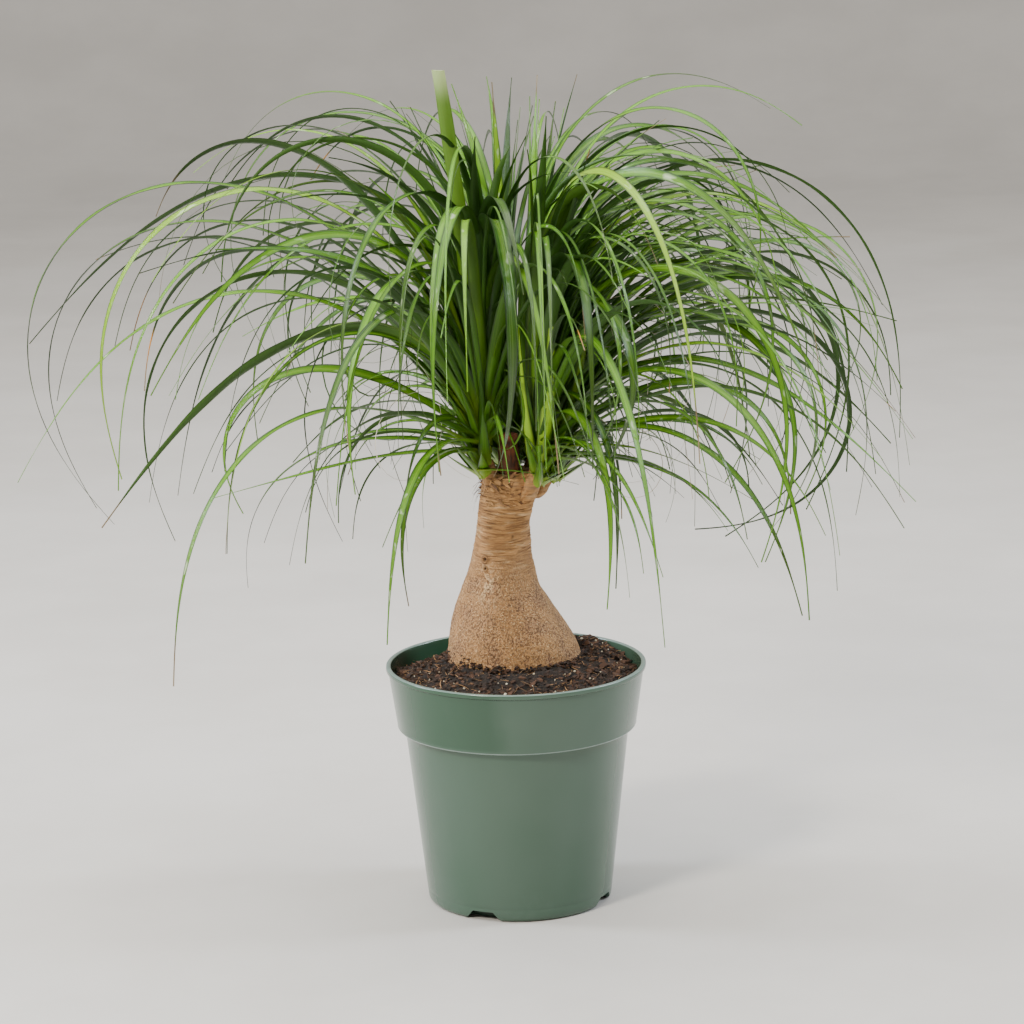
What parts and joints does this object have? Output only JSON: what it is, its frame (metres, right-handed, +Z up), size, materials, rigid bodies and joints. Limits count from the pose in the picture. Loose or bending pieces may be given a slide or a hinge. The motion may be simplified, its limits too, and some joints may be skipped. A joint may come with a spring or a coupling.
{
  "type": "potted ponytail palm",
  "caption": "Ponytail palm with a swollen trunk and heads of long arching strap leaves, in a round banded nursery pot.",
  "frame": {"origin": "middle of the pot's foot, on the surface it stands on", "axes": "+Z up; +X to the right and -Y towards the viewer, as the picture shows the plant"},
  "size_m": [0.8624, 0.7874, 0.8263],
  "materials": {
    "pot_plastic": "satin",
    "potting_mix": "matte",
    "bark": "matte",
    "leaf": "satin"
  },
  "bodies": {
    "root": {"pot": "pot_plastic", "soil": "potting_mix", "trunk": "bark", "crown_left": "leaf", "crown_front": "leaf", "crown_right": "leaf", "crown_back_right": "leaf", "crown_back_left": "leaf"}
  },
  "joints": []
}
